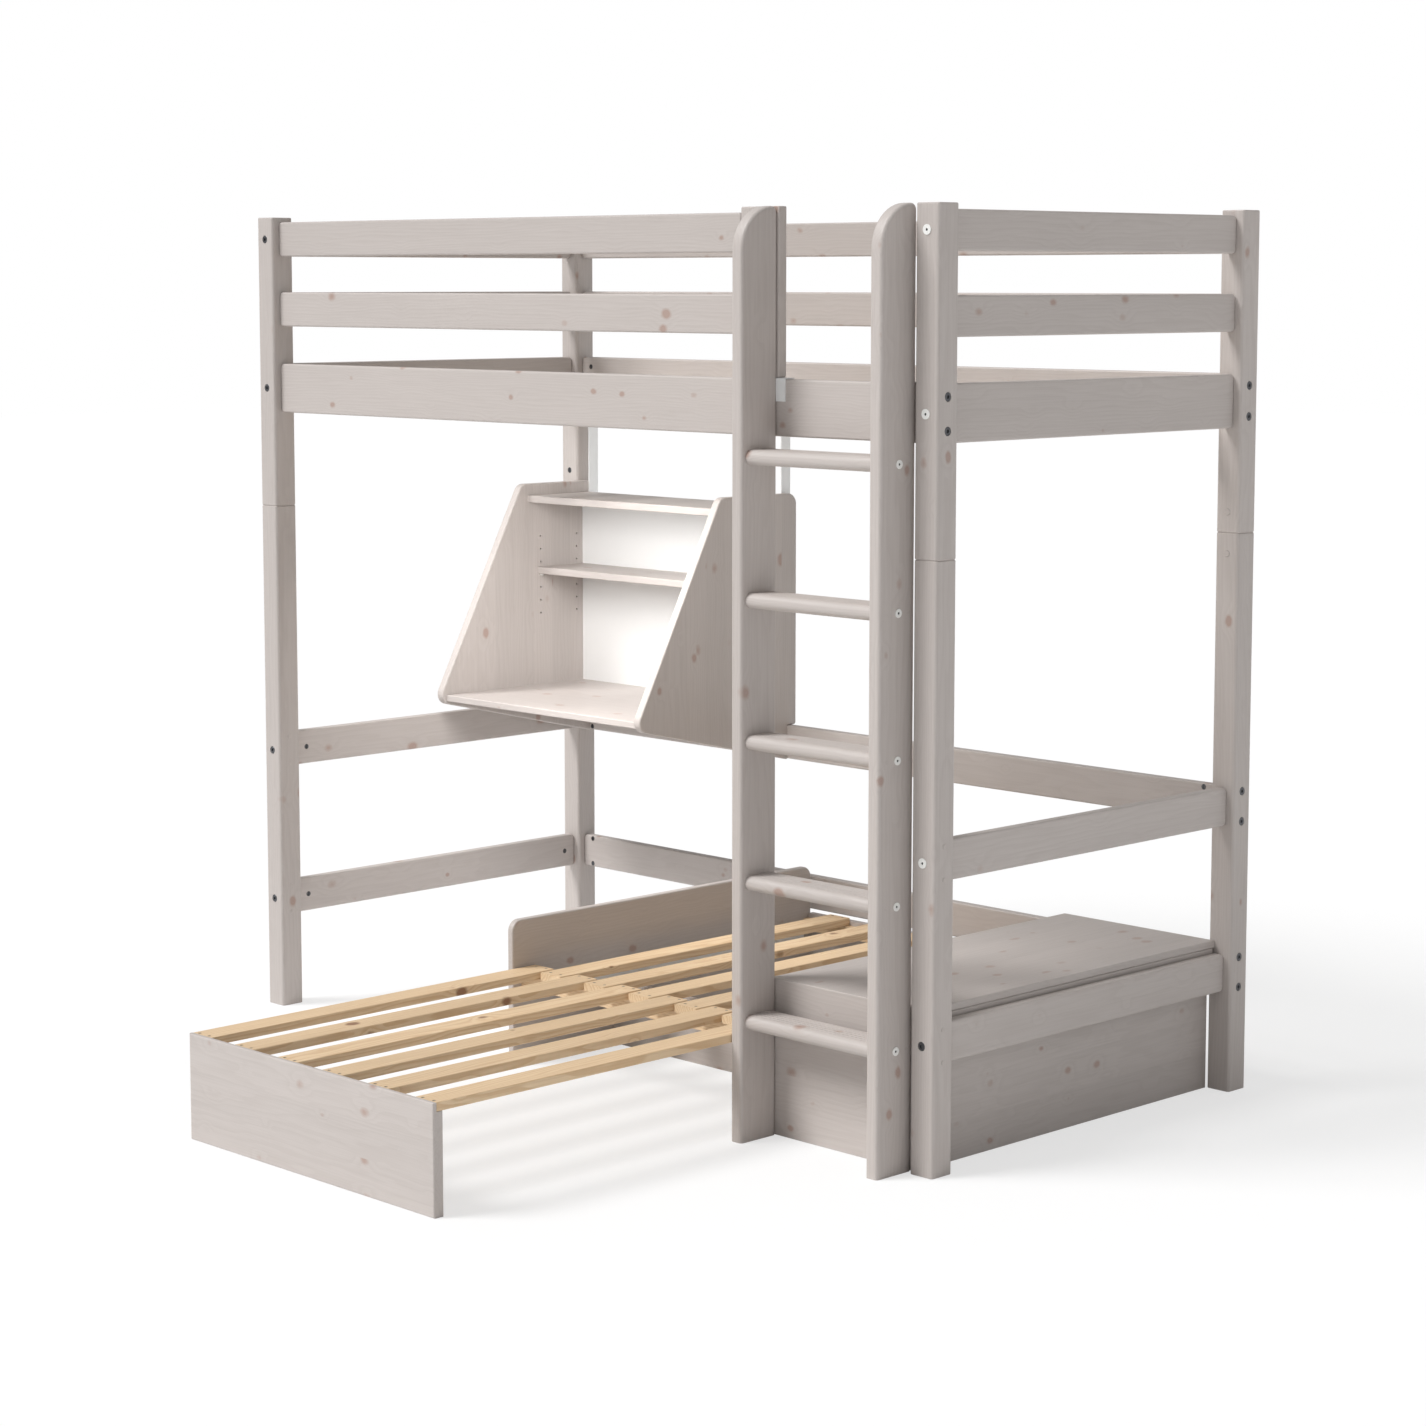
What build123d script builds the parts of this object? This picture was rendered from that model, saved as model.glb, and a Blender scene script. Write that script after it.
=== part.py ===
from build123d import *
import os

os.makedirs("parts", exist_ok=True)

# Overall bed frame, in mm: x runs along the long front, y from the front to the back, z up.
# The desk keeps its place from the back, and ladder, box and seat theirs from the right end.
length = 2100.0
width = 996.0
height = 1845.0

# Corner posts, each in a lower and an upper half
post = 58.0
post_round = 7.0
post_end_round = 3.0
joint_z = height - 664.0
joint_chamfer = 2.0

# Boards between the posts
rail_thick = 22.0
rail_inset = (post - rail_thick) / 2
rail_corner = 10.0
rail_edge = 4.0
bed_rail_z = height - 447.0
bed_rail_high = 112.0
guard_high = 78.0
guard_top_z = height - 89.0
guard_middle_z = height - 249.0
lower_high = 80.0
lower_top_z = 567.0
lower_bottom_z = 214.0
batten_left = length - 535.0
batten_wide = 105.0

# Frame hardware
bolt_radius = 3.0
bolt_clear = 0.25
bolt_length = 96.0
head_radius = 8.8
head_thick = 4.0
head_bevel = 1.0
head_sunk = 0.3
head_clear = 0.3
hex_flat = 7.0
hex_deep = 2.5
nut_radius = 6.0
nut_length = 16.0
nut_from_end = 33.0
nut_slot = 1.6
pair_half = 32.0
dowel_radius = 4.0
dowel_half = 20.0
dowel_clear = 0.1
dowel_spread = 24.0
joint_rod_radius = 5.0
joint_rod_half = 60.0
joint_nut_from_joint = 43.5
joint_nut_radius = 7.0
joint_nut_length = 40.0
joint_nut_sunk = 0.6
joint_plug_proud = 1.5
joint_plug_round = 1.2
plug_radius = 4.5
plug_deep = 8.0
plug_proud = 0.8
ring_outer = 8.4
post_ring_outer = head_radius + head_clear + 0.7
ring_inner = 2.6
ring_thick = 1.6

# Upper slatted base
ledger_thick = 22.0
ledger_high = 24.0
ledger_lift = 4.0
bed_slat_count = 14
bed_slat_wide = 63.0
bed_slat_thick = 17.0
bed_slat_gap_y = 3.0

# Ladder
stile_left_x = length - 463.5
ladder_wide = 394.5
stile_thick = 30.0
stile_front = -80.0
stile_gap = 0.3
stile_front_round = 86.0
stile_back_round = 13.0
stile_edge = 7.0
rung_count = 5
rung_first_z = 242.5
rung_pitch = (bed_rail_z - 37.9 - rung_first_z) / (rung_count - 1)
rung_front = -70.0
rung_deep = 82.0
rung_thick = 30.0
rung_round = 14.5
groove_count = 5
groove_pitch = 11.0
groove_radius = 1.8
rung_screw_radius = 3.0
rung_screw_length = 72.0
rung_dowel_spread = 30.0
hook_wide = 46.0
hook_thick = 2.5
hook_leg = 46.0

# Desk hung on the back rail
desk_left = post + 0.3
desk_wide = 724.0
desk_board = 22.0
desk_top_z = 697.5
desk_top_thick = 16.0
desk_top_front = width - 510.0
desk_back = width - 10.0
desk_high_z = 1200.0
desk_slope_low_y = width - 534.0
desk_slope_low_z = 681.0
desk_slope_high_y = width - 263.0
desk_foot_z = 565.0
desk_corner = 26.0
desk_edge = 4.0
notch_gap = 0.3
shelf_edge = 2.5
shelf_top_z = 1172.0
shelf_top_thick = 18.0
shelf_top_front = width - 243.0
shelf_top_back = width - 43.0
shelf_mid_z = 992.5
shelf_mid_thick = 17.5
shelf_mid_front = width - 212.0
back_panel_y = width - 61.0
back_panel_thick = 4.0
back_panel_groove = 6.0
pin_radius = 2.5
pin_in = 10.0
pin_out = 8.0
pin_pitch = 32.0
pin_front_y = width - 202.0
pin_back_y = width - 82.0
pin_rows_down = 3
pin_rows_up = 3
strap_thick = 2.5
strap_wide = 30.0
strap_low_z = 1080.0
strap_flange = 26.0

# Sofa base under the bed
sofa_board = 18.0
sofa_left = length - 1246.0
sofa_front = 12.0
sofa_side_back = width - 50.0
sofa_high = 320.0
sofa_corner = 25.0
sofa_edge = 4.0
box_left = length - 449.0
box_right = length - 60.0
box_front = 18.0
box_back = width - 59.0
box_high = 319.5
deck_thick = 16.0
deck_right = length - 42.0
deck_post_gap = 3.0
box_edge = 3.0
filler_high = 24.0
sofa_back_thick = 16.0
sofa_back_high = 208.0
sofa_back_behind = 60.0
cross_panel_y = 310.0
cross_panel_high = 140.0

# Slats of the seat: one set stays, the other pulls out between them
slat_top_z = 215.5
slat_thick = 17.5
slat_wide = 63.0
slat_pitch = 139.5
slat_edge = 2.5
pull_count = 6
pull_first_x = sofa_left + sofa_board + 1.5
fixed_front = 29.0
seat_batten_high = 28.0
fixed_batten_y = 36.0
fixed_batten_thick = 18.0
back_batten_thick = 16.0
pull_batten_y = 57.0
pull_batten_thick = 15.0
pull_batten_side_gap = 3.0
slide_clear = 0.6
glide_thick = 1.7
glide_long = 22.0
glide_gap = 0.3
track_thick = 2.0
track_leg = 25.0
track_lip = 16.0
track_slot_long = 22.0
track_slot_wide = 7.0
track_slot_pitch = 34.0
track_front = 38.0
board_front = 158.3 - width
board_thick = 22.0
board_lip = 8.0
board_edge = 3.0
slat_front_gap = 0.3
slat_back_y = 73.0

# Wood screws
screw_head_radius = 3.4
screw_head_thick = 1.6
screw_radius = 2.0
screw_length = 34.0
screw_sunk = 0.3
screw_spread = 16.0

# Values that follow from the ones above
front_rail_y = rail_inset
back_rail_y = width - rail_inset - rail_thick
left_rail_x = rail_inset
right_rail_x = length - rail_inset - rail_thick
front_rail_in = front_rail_y + rail_thick
left_rail_in = left_rail_x + rail_thick
bed_rail_top = bed_rail_z + bed_rail_high
slat_low_z = slat_top_z - slat_thick
track_top_z = slat_low_z - seat_batten_high - glide_thick - glide_gap
middle_x = -length / 2
middle_y = -(width + board_front) / 2


def box_at(x0, x1, y0, y1, z0, z1):
    size = Box(x1 - x0, y1 - y0, z1 - z0)
    return Pos((x0 + x1) / 2, (y0 + y1) / 2, (z0 + z1) / 2) * size


def board(x0, x1, y0, y1, z0, z1, thin, corner, edge):
    # A plank with rounded outline corners and softened edges round both broad faces
    plank = box_at(x0, x1, y0, y1, z0, z1)
    if corner > 0:
        plank = fillet(plank.edges().filter_by(thin), corner)
    if edge > 0:
        faces = plank.faces().filter_by(thin)
        plank = fillet(faces[0].edges() + faces[1].edges(), edge)
    return plank


def rod(center, axis, radius, reach):
    # A cylinder from a start point along an axis; a negative reach runs backwards
    half = abs(reach)
    body = Cylinder(radius, half, align=(Align.CENTER, Align.CENTER, Align.MIN))
    if axis == "x":
        turn = Rot(0, 90, 0)
        start = (min(center[0], center[0] + reach), center[1], center[2])
    elif axis == "y":
        turn = Rot(-90, 0, 0)
        start = (center[0], min(center[1], center[1] + reach), center[2])
    else:
        turn = Rot(0, 0, 0)
        start = (center[0], center[1], min(center[2], center[2] + reach))
    return Pos(*start) * turn * body


def along(point, axis, distance):
    # The point moved by a distance along x, y or z
    x, y, z = point
    if axis == "x":
        return (x + distance, y, z)
    if axis == "y":
        return (x, y + distance, z)
    return (x, y, z + distance)


def limits(shape):
    box = shape.bounding_box()
    return ((box.min.X, box.max.X), (box.min.Y, box.max.Y), (box.min.Z, box.max.Z))


def measured(shapes):
    # Each cutter with its limits, so that they are worked out only once
    return [(shape, limits(shape)) for shape in shapes]


def meets(first, second):
    for (low_a, high_a), (low_b, high_b) in zip(first, second):
        if high_a < low_b or high_b < low_a:
            return False
    return True


def drill(solid, cutters):
    # Take away only the cutters that reach this piece
    own = limits(solid)
    near = [cutter for cutter, reach in cutters if meets(own, reach)]
    return solid - near if near else solid


def save(name, shapes):
    # Move the pieces to the shared origin and write one file
    moved = []
    for shape in shapes:
        for solid in (Pos(middle_x, middle_y, 0) * shape).solids():
            moved.append(solid)
    part = moved[0] if len(moved) == 1 else Compound(children=moved)
    part.label = name
    export_step(part, "parts/" + name + ".step")


# Where every bolt of the frame starts, which way it runs and its sign
def frame_bolts():
    found = []
    center = post / 2
    end_levels = (
        guard_top_z + guard_high / 2,
        bed_rail_z + bed_rail_high / 2,
        lower_top_z + lower_high / 2,
        lower_bottom_z + lower_high / 2,
    )
    for x in (center, length - center):
        for z in end_levels:
            found.append(((x, 0.0, z), "y", 1))
            found.append(((x, width, z), "y", -1))
    bed_middle = bed_rail_z + bed_rail_high / 2
    back_levels = [bed_middle, lower_top_z + lower_high / 2, lower_bottom_z + lower_high / 2]
    for y, levels in ((center, [bed_middle]), (width - center, back_levels)):
        for level in levels:
            for z in (level - pair_half, level + pair_half):
                found.append(((0.0, y, z), "x", 1))
                found.append(((length, y, z), "x", -1))
    return found


def bolt_shape(point, axis, sign):
    head_start = along(point, axis, sign * head_sunk)
    head = rod(head_start, axis, head_radius, sign * head_thick)
    head = chamfer(head.edges().filter_by(GeomType.CIRCLE), head_bevel)
    shank = rod(along(head_start, axis, sign * head_thick), axis, bolt_radius, sign * bolt_length)
    socket = RegularPolygon(hex_flat / 2, 6, major_radius=False)
    if axis == "x":
        plane = Plane(origin=head_start, z_dir=(sign, 0, 0))
    else:
        plane = Plane(origin=head_start, z_dir=(0, sign, 0))
    return head + shank - extrude(plane * socket, hex_deep)


def bolt_cutter(point, axis, sign):
    outer = along(point, axis, -sign)
    deep = head_sunk + head_thick
    head = rod(outer, axis, head_radius + head_clear, sign * (deep + 1))
    shank = rod(outer, axis, bolt_radius + bolt_clear, sign * (deep + bolt_length + 3))
    return head + shank


def nut_place(point, axis, sign):
    # The cross nut sits in the board, open on the face that looks into the bed
    x, y, z = along(point, axis, sign * (post + nut_from_end))
    if axis == "x":
        if y < width / 2:
            return (x, front_rail_in, z), "y", -1
        return (x, back_rail_y, z), "y", 1
    if x < length / 2:
        return (left_rail_in, y, z), "x", -1
    return (right_rail_x, y, z), "x", 1


def slot_box(point, axis, radius):
    x, y, z = point
    half = nut_slot / 2
    if axis == "x":
        return box_at(x - nut_slot, x + nut_slot, y - half, y + half, z - radius, z + radius)
    return box_at(x - half, x + half, y - nut_slot, y + nut_slot, z - radius, z + radius)


def nut_shape(bolt):
    point, axis, sign = bolt
    start, nut_axis, nut_sign = nut_place(point, axis, sign)
    body = rod(start, nut_axis, nut_radius, nut_sign * nut_length)
    hole_start = along(point, axis, sign * post)
    hole = rod(hole_start, axis, bolt_radius + 0.02, sign * nut_from_end * 2)
    return body - hole - slot_box(start, nut_axis, nut_radius + 1)


def nut_cutter(bolt):
    point, axis, sign = bolt
    start, nut_axis, nut_sign = nut_place(point, axis, sign)
    outer = along(start, nut_axis, -nut_sign)
    return rod(outer, nut_axis, nut_radius + dowel_clear, nut_sign * (nut_length + 1.2))


def frame_dowels():
    # Plain dowels in the board ends, kept clear of the bolts
    found = []
    center = post / 2
    single = (
        (guard_top_z, guard_high),
        (bed_rail_z, bed_rail_high),
        (lower_top_z, lower_high),
        (lower_bottom_z, lower_high),
        (guard_middle_z, guard_high),
    )
    for x in (center, length - center):
        for low, high in single:
            for z in (low + high / 2 - dowel_spread, low + high / 2 + dowel_spread):
                found.append(((x, post, z), "y"))
                found.append(((x, width - post, z), "y"))
    for low in (guard_top_z, guard_middle_z):
        for z in (low + guard_high / 2 - dowel_spread, low + guard_high / 2 + dowel_spread):
            found.append(((post, center, z), "x"))
            found.append(((batten_left, center, z), "x"))
            found.append(((post, width - center, z), "x"))
            found.append(((length - post, width - center, z), "x"))
    return found


def dowel_shape(point, axis, radius, half):
    return rod(along(point, axis, -half), axis, radius, 2 * half)


def desk_dowels():
    found = []
    left_in = desk_left + desk_board
    right_in = desk_left + desk_wide - desk_board
    for y, z in (
        (desk_top_front + 60, desk_top_z - desk_top_thick / 2),
        (back_panel_y - 60, desk_top_z - desk_top_thick / 2),
        (shelf_top_front + 40, shelf_top_z - shelf_top_thick / 2),
        (shelf_top_back - 40, shelf_top_z - shelf_top_thick / 2),
    ):
        found.append(((left_in, y, z), "x"))
        found.append(((right_in, y, z), "x"))
    return found


def rung_levels():
    return [rung_first_z + rung_pitch * step for step in range(rung_count)]


def rung_middle_y():
    return rung_front + rung_deep / 2


def ladder_sides():
    # Outer face x of each stile and the direction that points into the ladder
    return ((stile_left_x, 1), (stile_left_x + ladder_wide, -1))


def ladder_dowels():
    found = []
    for face, sign in ladder_sides():
        for z in rung_levels():
            for y in (rung_middle_y() - rung_dowel_spread, rung_middle_y() + rung_dowel_spread):
                found.append(rod((face, y, z), "x", dowel_radius, sign * (stile_thick + 24)))
    return found


def ladder_dowel_cutters():
    found = []
    for face, sign in ladder_sides():
        for z in rung_levels():
            for y in (rung_middle_y() - rung_dowel_spread, rung_middle_y() + rung_dowel_spread):
                start = (face - sign, y, z)
                radius = dowel_radius + dowel_clear
                found.append(rod(start, "x", radius, sign * (stile_thick + 26)))
    return found


def rung_screws():
    found = []
    for face, sign in ladder_sides():
        for z in rung_levels():
            start = (face + sign * 0.2, rung_middle_y(), z)
            head = rod(start, "x", ring_inner - 0.2, sign * 3.0)
            shank = rod(start, "x", rung_screw_radius, sign * rung_screw_length)
            socket = extrude(
                Plane(origin=start, z_dir=(sign, 0, 0)) * RegularPolygon(2.0, 6, major_radius=False),
                2.0,
            )
            found.append(head + shank - socket)
    return found


def rung_screw_cutters():
    found = []
    for face, sign in ladder_sides():
        for z in rung_levels():
            start = (face - sign, rung_middle_y(), z)
            shank = rod(start, "x", rung_screw_radius + 0.1, sign * (rung_screw_length + 2))
            found.append(rod(start, "x", ring_inner + 0.1, sign * 4.3) + shank)
    return found


def ring_caps():
    # White ring washers round the ladder screws and three of the front bolts
    found = []
    for face, sign in ladder_sides():
        for z in rung_levels():
            y = rung_middle_y()
            body = rod((face, y, z), "x", ring_outer, -sign * ring_thick)
            found.append(body - rod((face - sign * 5, y, z), "x", ring_inner, sign * 10))
    x = length - post / 2
    levels = (guard_top_z + guard_high / 2, bed_rail_z + bed_rail_high / 2, lower_top_z + lower_high / 2)
    for z in levels:
        body = rod((x, 0, z), "y", post_ring_outer, -ring_thick)
        found.append(body - rod((x, -5, z), "y", ring_inner, 10))
    return found


def plug_places():
    # Spare bores of the front posts, closed with plugs on both faces
    places = []
    for low in (lower_top_z, lower_bottom_z):
        for z in (low + lower_high / 2 - pair_half, low + lower_high / 2 + pair_half):
            for x, sign in ((0.0, 1), (post, -1), (length - post, 1), (length, -1)):
                places.append(((x, post / 2, z), sign))
    return places


def plug_shape(point, sign):
    start = along(point, "x", -sign * plug_proud)
    return rod(start, "x", plug_radius, sign * (plug_deep + plug_proud))


def plug_cutter(point, sign):
    start = along(point, "x", -sign)
    return rod(start, "x", plug_radius + dowel_clear, sign * (plug_deep + 1.4))


def joint_rods():
    rods = []
    center = post / 2
    for x in (center, length - center):
        for y in (center, width - center):
            start = (x, y, joint_z - joint_rod_half)
            rods.append(rod(start, "z", joint_rod_radius, 2 * joint_rod_half))
    return rods


def joint_nut_places():
    places = []
    center = post / 2
    for x in (center, length - center):
        for z in (joint_z - joint_nut_from_joint, joint_z + joint_nut_from_joint):
            places.append(((x, post, z), -1))
            places.append(((x, width - post, z), 1))
    return places


def joint_plug(point, sign):
    # Low domed cover over the barrel of a joint
    start = along(point, "y", sign * joint_nut_sunk)
    body = rod(start, "y", joint_nut_radius, -sign * (joint_nut_sunk + joint_plug_proud))
    rims = body.edges().filter_by(GeomType.CIRCLE)
    outer = rims.sort_by_distance(along(point, "y", -sign * 50))[0]
    return fillet(outer, joint_plug_round)


def joint_nut(point, sign):
    start = along(point, "y", sign * joint_nut_sunk)
    body = rod(start, "y", joint_nut_radius, sign * joint_nut_length)
    center = post / 2
    y = center if point[1] < width / 2 else width - center
    hole = rod((point[0], y, point[2] - 20), "z", joint_rod_radius + 0.02, 40)
    return body - hole - slot_box(start, "y", joint_nut_radius + 1)


def joint_cutters():
    cutters = []
    for point, sign in joint_nut_places():
        start = along(point, "y", -sign)
        radius = joint_nut_radius + dowel_clear
        cutters.append(rod(start, "y", radius, sign * (joint_nut_length + 2.2)))
    center = post / 2
    for x in (center, length - center):
        for y in (center, width - center):
            start = (x, y, joint_z - joint_rod_half - 1)
            radius = joint_rod_radius + dowel_clear
            cutters.append(rod(start, "z", radius, 2 * joint_rod_half + 2))
    return cutters


def make_post(x, y, cutters, low):
    z0, z1 = (0.0, joint_z) if low else (joint_z, height)
    body = box_at(x, x + post, y, y + post, z0, z1)
    body = fillet(body.edges().filter_by(Axis.Z), post_round)
    top = body.faces().sort_by(Axis.Z)[-1].edges()
    bottom = body.faces().sort_by(Axis.Z)[0].edges()
    if low:
        body = chamfer(top, joint_chamfer)
        body = fillet(body.faces().sort_by(Axis.Z)[0].edges(), 1.5)
    else:
        body = fillet(top, post_end_round)
        body = chamfer(body.faces().sort_by(Axis.Z)[0].edges(), joint_chamfer)
    return drill(body, cutters)


def long_rail(y, z, high, cutters):
    rail = board(post, length - post, y, y + rail_thick, z, z + high, Axis.Y, rail_corner, rail_edge)
    return drill(rail, cutters)


def end_rail(x, z, high, cutters):
    rail = board(x, x + rail_thick, post, width - post, z, z + high, Axis.X, rail_corner, rail_edge)
    return drill(rail, cutters)


def front_guard(z, cutters):
    y = front_rail_y
    rail = board(post, batten_left, y, y + rail_thick, z, z + guard_high, Axis.Y, rail_corner, rail_edge)
    return drill(rail, cutters)


def make_guard_batten(cutters):
    y = front_rail_y
    low = bed_rail_top + hook_thick + 0.3
    right = batten_left + batten_wide
    body = board(batten_left, right, y, y + rail_thick, low, height, Axis.Y, 3.0, 2.5)
    return drill(body, cutters)


def wood_screw(x, y, top_z):
    start = (x, y, top_z - screw_sunk)
    return rod(start, "z", screw_head_radius, -screw_head_thick) + rod(
        start, "z", screw_radius, -screw_length
    )


def screw_cutter(x, y, top_z):
    start = (x, y, top_z + 1)
    head = rod(start, "z", screw_head_radius + 0.15, -(screw_sunk + screw_head_thick + 1))
    return head + rod(start, "z", screw_radius + 0.1, -(screw_length + 2))


def ledgers():
    low = bed_rail_z + ledger_lift
    front = front_rail_in
    back = back_rail_y - ledger_thick
    left = post + 4
    right = length - post - 4
    pieces = []
    for y in (front, back):
        piece = box_at(left, right, y, y + ledger_thick, low, low + ledger_high)
        pieces.append(fillet(piece.edges().filter_by(Axis.X), 2.0))
    return pieces


def bed_slat_x(step):
    first = post + 20
    last = length - post - 20 - bed_slat_wide
    return first + (last - first) * step / (bed_slat_count - 1)


def bed_slats():
    low = bed_rail_z + ledger_lift + ledger_high
    y0 = front_rail_in + bed_slat_gap_y
    y1 = back_rail_y - bed_slat_gap_y
    slats = []
    for step in range(bed_slat_count):
        x = bed_slat_x(step)
        slat = box_at(x, x + bed_slat_wide, y0, y1, low, low + bed_slat_thick)
        slats.append(fillet(slat.edges().filter_by(Axis.Y), slat_edge))
    return slats


def bed_screw_spots():
    top = bed_rail_z + ledger_lift + ledger_high + bed_slat_thick
    spots = []
    for step in range(bed_slat_count):
        x = bed_slat_x(step) + bed_slat_wide / 2
        for y in (front_rail_in + ledger_thick / 2, back_rail_y - ledger_thick / 2):
            spots.append((x, y, top))
    return spots


def hook_profile(x0):
    # Bent steel strip over the bed rail: front leg, saddle and back leg
    y0 = front_rail_y - hook_thick - 0.2
    y1 = front_rail_in + hook_thick + 0.2
    top = bed_rail_top + hook_thick
    low = top - hook_leg
    x1 = x0 + hook_wide
    front = box_at(x0, x1, y0, y0 + hook_thick, low, top)
    saddle = box_at(x0, x1, y0, y1, top - hook_thick, top)
    back = box_at(x0, x1, y1 - hook_thick, y1, top - hook_leg / 2, top)
    bent = front + saddle + back
    outer = bent.edges().filter_by(Axis.X).group_by(Axis.Z)[-1]
    return fillet(outer, 2.0)


def hook_lefts():
    left = stile_left_x + stile_thick / 2 - 8
    right = stile_left_x + ladder_wide - stile_thick / 2 + 8 - hook_wide
    return (left, right)


def make_stile(x, cutters):
    back = front_rail_y - stile_gap
    body = box_at(x, x + stile_thick, stile_front, back, 0, height)
    top = body.edges().filter_by(Axis.X).group_by(Axis.Z)[-1].sort_by(Axis.Y)
    body = fillet(top[0:1], stile_front_round)
    back_edge = body.edges().filter_by(Axis.X).sort_by(Axis.Y)[-2:].sort_by(Axis.Z)[-1]
    body = fillet(back_edge, stile_back_round)
    outline = []
    for face in body.faces().filter_by(Axis.X):
        for edge in face.edges():
            if edge.center().Z > 1:
                outline.append(edge)
    body = fillet(outline, stile_edge)
    rebate_low = bed_rail_top - hook_leg - 2
    rebate_y = back - hook_thick - 0.3
    rebate_high = bed_rail_top + hook_thick + 0.4
    rebate = box_at(x - 1, x + stile_thick + 1, rebate_y, back + 1, rebate_low, rebate_high)
    return drill(body - rebate, cutters)


def make_rung(z, cutters):
    x0 = stile_left_x + stile_thick
    x1 = stile_left_x + ladder_wide - stile_thick
    y = rung_middle_y()
    section = Plane(origin=(x0, y, z), x_dir=(0, 1, 0), z_dir=(1, 0, 0))
    body = extrude(section * RectangleRounded(rung_deep, rung_thick, rung_round), x1 - x0)
    for step in range(groove_count):
        offset = (step - (groove_count - 1) / 2) * groove_pitch
        start = (x0 - 1, y + offset, z + rung_thick / 2 + groove_radius * 0.25)
        body = body - rod(start, "x", groove_radius, x1 - x0 + 2)
    return drill(body, cutters)


def desk_side(x, cutters):
    rail_y = back_rail_y
    rail_top = lower_top_z + lower_high
    slope_high = desk_slope_high_y
    outline = [
        (desk_slope_low_y, desk_slope_low_z),
        (rail_y - notch_gap, desk_foot_z),
        (rail_y - notch_gap, rail_top),
        (desk_back, rail_top),
        (desk_back, desk_high_z),
        (slope_high, desk_high_z),
    ]
    face = Plane(origin=(x, 0, 0), x_dir=(0, 1, 0), z_dir=(1, 0, 0)) * make_face(
        Polyline(*outline, close=True)
    )
    body = extrude(face, desk_board)
    cross = body.edges().filter_by(Axis.X)
    top_back = cross.sort_by_distance((x + desk_board / 2, desk_back, desk_high_z))[0]
    top_front = cross.sort_by_distance((x + desk_board / 2, slope_high, desk_high_z))[0]
    nose = cross.sort_by_distance((x + desk_board / 2, desk_slope_low_y, desk_slope_low_z))[0]
    body = fillet([top_back, top_front, nose], desk_corner)
    heel = body.edges().filter_by(Axis.X).sort_by_distance((x + desk_board / 2, desk_back, rail_top))[0]
    body = fillet(heel, 6.0)
    rim = []
    for face in body.faces().filter_by(Axis.X):
        for edge in face.edges():
            middle = edge.center()
            if middle.Y < rail_y - 2 or middle.Z > rail_top + 20:
                rim.append(edge)
    body = fillet(rim, desk_edge)
    return drill(body, cutters)


def desk_inner_faces():
    return (desk_left + desk_board, desk_left + desk_wide - desk_board)


def pin_cutters():
    cutters = []
    base = shelf_mid_z - shelf_mid_thick - pin_radius
    left, right = desk_inner_faces()
    for step in range(-pin_rows_down, pin_rows_up + 1):
        z = base + step * pin_pitch
        for y in (pin_front_y, pin_back_y):
            cutters.append(rod((left + 1, y, z), "x", pin_radius + dowel_clear, -(pin_in + 1.5)))
            cutters.append(rod((right - 1, y, z), "x", pin_radius + dowel_clear, pin_in + 1.5))
    return cutters


def shelf_pins():
    pins = []
    z = shelf_mid_z - shelf_mid_thick - pin_radius
    left, right = desk_inner_faces()
    for y in (pin_front_y, pin_back_y):
        pins.append(rod((left - pin_in, y, z), "x", pin_radius, pin_in + pin_out))
        pins.append(rod((right + pin_in, y, z), "x", pin_radius, -(pin_in + pin_out)))
    return pins


def back_panel():
    left, right = desk_inner_faces()
    x0 = left - back_panel_groove + 0.5
    x1 = right + back_panel_groove - 0.5
    y1 = back_panel_y + back_panel_thick
    return box_at(x0, x1, back_panel_y, y1, desk_top_z, shelf_top_z - shelf_top_thick)


def panel_groove_cutters():
    left, right = desk_inner_faces()
    y0 = back_panel_y - 0.1
    y1 = back_panel_y + back_panel_thick + 0.1
    low = desk_top_z
    high = shelf_top_z - shelf_top_thick
    first = box_at(left - back_panel_groove, left + 1, y0, y1, low, high)
    second = box_at(right - 1, right + back_panel_groove, y0, y1, low, high)
    return [first, second]


def desk_shelf(y0, y1, z0, z1, front_round, cutters):
    left, right = desk_inner_faces()
    body = box_at(left, right, y0, y1, z0, z1)
    body = fillet(body.edges().filter_by(Axis.X).sort_by(Axis.Y)[0:2], front_round)
    return drill(body, cutters)


def strap(face, sign):
    # Flat bar on the inner face of a desk side, bent in under the bed rail
    y0 = desk_back - strap_wide
    top = bed_rail_z
    bar = box_at(min(face, face + sign * strap_thick), max(face, face + sign * strap_thick),
                 y0, desk_back, strap_low_z, top)
    reach = face + sign * strap_flange
    flange = box_at(min(face, reach), max(face, reach), y0, back_rail_y + rail_thick,
                    top - strap_thick, top)
    return bar + flange


def strap_screw_spots():
    left, right = desk_inner_faces()
    y = desk_back - strap_wide / 2
    spots = []
    for face, sign in ((left, 1), (right, -1)):
        for z in (strap_low_z + 16, strap_low_z + 80):
            spots.append(((face + sign * strap_thick, y, z), sign))
    return spots


def side_screw(point, sign):
    head = rod(point, "x", screw_head_radius, sign * screw_head_thick)
    return head + rod(point, "x", screw_radius, -sign * 18)


def side_screw_cutter(point, sign):
    start = along(point, "x", sign * 2)
    return rod(start, "x", screw_radius + 0.1, -sign * 22)


def seat_slats(first_x, count, y0, y1, cutters):
    slats = []
    for step in range(count):
        x = first_x + step * slat_pitch
        body = box_at(x, x + slat_wide, y0, y1, slat_low_z, slat_top_z)
        body = fillet(body.edges().filter_by(Axis.Y), slat_edge)
        slats.append(drill(body, cutters))
    return slats


def seat_screw_spots(first_x, count, rows):
    spots = []
    for step in range(count):
        middle = first_x + step * slat_pitch + slat_wide / 2
        for x in (middle - screw_spread, middle + screw_spread):
            for y in rows:
                spots.append((x, y, slat_top_z))
    return spots


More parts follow.
